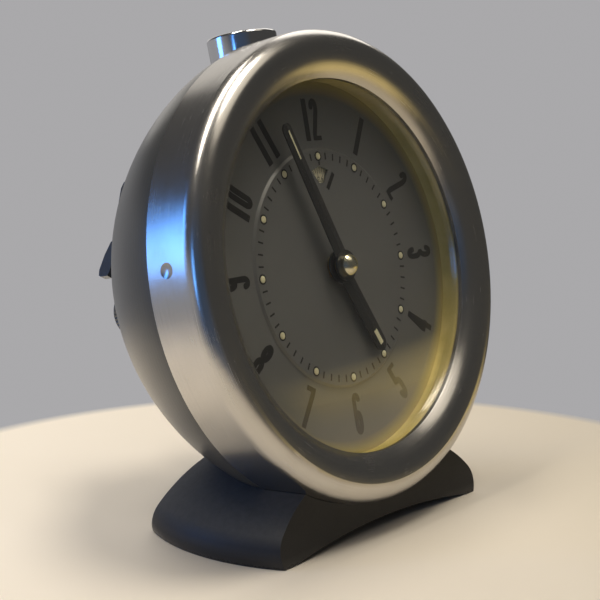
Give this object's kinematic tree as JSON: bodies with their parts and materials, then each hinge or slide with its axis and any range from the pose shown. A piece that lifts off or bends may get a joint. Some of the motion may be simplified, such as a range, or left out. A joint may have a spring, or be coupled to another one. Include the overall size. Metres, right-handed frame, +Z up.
{
  "type": "wind-up alarm clock",
  "caption": "Round wind-up mechanical alarm clock with a wide rolled bezel, bowl-shaped back, top shut-off button and low arched foot, with its spring movement inside.",
  "frame": {"origin": "centre of the foot's round plan, on the table", "axes": "+Z up, the dial faces -Y and leans back, +X to the right seen from the front"},
  "size_m": [0.1136, 0.0843, 0.1195],
  "materials": {
    "nickel": "satin nickel plate",
    "crystal": "clear acrylic, edge yellowed",
    "dial_grey": "satin grey",
    "shell_paint": "satin charcoal paint",
    "foot_paint": "matt black paint",
    "chrome": "polished",
    "black_hands": "satin black",
    "brass": "satin",
    "steel": "turned steel",
    "blued_spring": "blued spring steel",
    "bell_metal": "bell metal",
    "key_steel": "plated steel",
    "knob_plastic": "moulded, ridged",
    "luminous": "cream luminous paint"
  },
  "bodies": {
    "case": {"bezel": "nickel", "crystal": "crystal", "dial": "dial_grey", "rear_shell": "shell_paint", "foot": "foot_paint", "foot_strap": "steel", "foot_screws": "steel", "front_plate": "brass", "rear_plate": "brass", "pillars": "steel", "pillar_screws": "steel", "case_posts": "steel", "case_screws": "steel", "time_mainspring": "blued_spring", "alarm_mainspring": "blued_spring", "bell": "bell_metal", "bell_screw": "steel", "button_bridge": "brass", "button_spring": "steel", "hairspring": "blued_spring"},
    "hands": {"cannon_pinion": "brass", "minute_hand": "black_hands", "hand_nut": "chrome"},
    "hour": {"hour_wheel": "brass", "hour_hand": "black_hands"},
    "minute_work": {"minute_wheel": "brass"},
    "hand_setting": {"set_arbor": "steel", "set_knob": "knob_plastic"},
    "alarm_release": {"alarm_wheel": "brass"},
    "alarm_setting": {"alarm_disc": "luminous", "alarm_set_arbor": "steel", "alarm_set_knob": "knob_plastic"},
    "centre": {"centre_arbor": "steel", "centre_wheel": "brass"},
    "great": {"time_great_wheel": "brass", "time_click": "blued_spring"},
    "time_winder": {"time_arbor": "steel", "time_key": "key_steel"},
    "third": {"third_wheel": "brass"},
    "fourth": {"fourth_wheel": "brass"},
    "escape": {"escape_wheel": "brass"},
    "pallets": {"pallet_lever": "steel"},
    "balance": {"balance_wheel": "brass", "balance_staff": "steel"},
    "regulator_lever": {"regulator": "steel"},
    "alarm_great": {"alarm_great_wheel": "brass", "alarm_click": "blued_spring"},
    "alarm_winder": {"alarm_arbor": "steel", "alarm_key": "key_steel"},
    "striking": {"strike_wheel": "brass"},
    "hammer_arm": {"hammer": "steel", "hammer_verge": "steel"},
    "button": {"alarm_button": "chrome"}
  },
  "joints": [
    {"name": "hands_turn", "type": "hinge", "parent": "case", "child": "hands", "pos_m": [0, -0.0035, 0.0621], "axis": [0, -0.9781, 0.2079], "continuous": true},
    {"name": "hour_turn", "type": "hinge", "parent": "case", "child": "hour", "pos_m": [0, -0.0035, 0.0621], "axis": [0, -0.9781, 0.2079], "continuous": true},
    {"name": "minute_work_turn", "type": "hinge", "parent": "case", "child": "minute_work", "pos_m": [-0.00688, -0.00554, 0.05248], "axis": [0, -0.9781, 0.2079], "continuous": true},
    {"name": "hand_setting_turn", "type": "hinge", "parent": "case", "child": "hand_setting", "pos_m": [-0.01706, -0.00422, 0.0587], "axis": [0, -0.9781, 0.2079], "continuous": true},
    {"name": "alarm_release_turn", "type": "hinge", "parent": "case", "child": "alarm_release", "pos_m": [0, 0.00049, 0.08088], "axis": [0, -0.9781, 0.2079], "continuous": true},
    {"name": "alarm_setting_turn", "type": "hinge", "parent": "case", "child": "alarm_setting", "pos_m": [0, 0.00049, 0.08088], "axis": [0, -0.9781, 0.2079], "continuous": true},
    {"name": "third_turn", "type": "hinge", "parent": "case", "child": "third", "pos_m": [0.0044, -0.00691, 0.04604], "axis": [0, -0.9781, 0.2079], "continuous": true},
    {"name": "centre_turn", "type": "hinge", "parent": "case", "child": "centre", "pos_m": [0, -0.0035, 0.0621], "axis": [0, -0.9781, 0.2079], "continuous": true},
    {"name": "great_turn", "type": "hinge", "parent": "case", "child": "great", "pos_m": [0.02154, -0.0016, 0.07104], "axis": [0, -0.9781, 0.2079], "continuous": true},
    {"name": "fourth_turn", "type": "hinge", "parent": "case", "child": "fourth", "pos_m": [-0.0109, -0.00691, 0.04604], "axis": [0, -0.9781, 0.2079], "continuous": true},
    {"name": "escape_turn", "type": "hinge", "parent": "case", "child": "escape", "pos_m": [-0.01473, -0.0091, 0.03574], "axis": [0, -0.9781, 0.2079], "continuous": true},
    {"name": "pallet_rock", "type": "hinge", "parent": "case", "child": "pallets", "pos_m": [-0.00655, -0.00966, 0.03314], "axis": [0, -0.9781, 0.2079], "range_deg": [-5, 5]},
    {"name": "balance_swing", "type": "hinge", "parent": "case", "child": "balance", "pos_m": [0.00291, -0.01045, 0.02941], "axis": [0, -0.9781, 0.2079], "range_deg": [-270, 270], "stiffness_Nm_per_rad": 0.0000002},
    {"name": "regulator_turn", "type": "hinge", "parent": "case", "child": "regulator_lever", "pos_m": [0.00291, -0.01045, 0.02941], "axis": [0, -0.9781, 0.2079], "range_deg": [-20, 20]},
    {"name": "time_wind", "type": "hinge", "parent": "case", "child": "time_winder", "pos_m": [0.02154, -0.0016, 0.07104], "axis": [0, -0.9781, 0.2079], "continuous": true},
    {"name": "alarm_wind", "type": "hinge", "parent": "case", "child": "alarm_winder", "pos_m": [-0.015, 0.00035, 0.0802], "axis": [0, -0.9781, 0.2079], "continuous": true},
    {"name": "alarm_great_turn", "type": "hinge", "parent": "case", "child": "alarm_great", "pos_m": [-0.015, 0.00035, 0.0802], "axis": [0, -0.9781, 0.2079], "continuous": true},
    {"name": "striking_turn", "type": "hinge", "parent": "case", "child": "striking", "pos_m": [-0.02432, -0.00196, 0.06933], "axis": [0, -0.9781, 0.2079], "continuous": true},
    {"name": "hammer_swing", "type": "hinge", "parent": "case", "child": "hammer_arm", "pos_m": [-0.02541, -0.00357, 0.06177], "axis": [0, -0.9781, 0.2079], "range_deg": [-5, 1.42]},
    {"name": "button_press", "type": "slide", "parent": "case", "child": "button", "axis": [0, -0.2079, -0.9781], "range_m": [0, 0.003], "stiffness_N_per_m": 400, "springref_m": -0.001, "deforming": ["button_spring"]}
  ],
  "couplings": [
    {"joint": "hour_turn", "follows": "hands_turn", "ratio": 0.083333},
    {"joint": "minute_work_turn", "follows": "hands_turn", "ratio": -0.33333},
    {"joint": "hand_setting_turn", "follows": "hands_turn", "ratio": 1},
    {"joint": "alarm_release_turn", "follows": "hands_turn", "ratio": -0.083333},
    {"joint": "centre_turn", "follows": "third_turn", "ratio": -0.13333},
    {"joint": "great_turn", "follows": "third_turn", "ratio": 0.026667},
    {"joint": "fourth_turn", "follows": "third_turn", "ratio": -7.5},
    {"joint": "escape_turn", "follows": "third_turn", "ratio": 45},
    {"joint": "striking_turn", "follows": "alarm_great_turn", "ratio": -4.8}
  ]
}
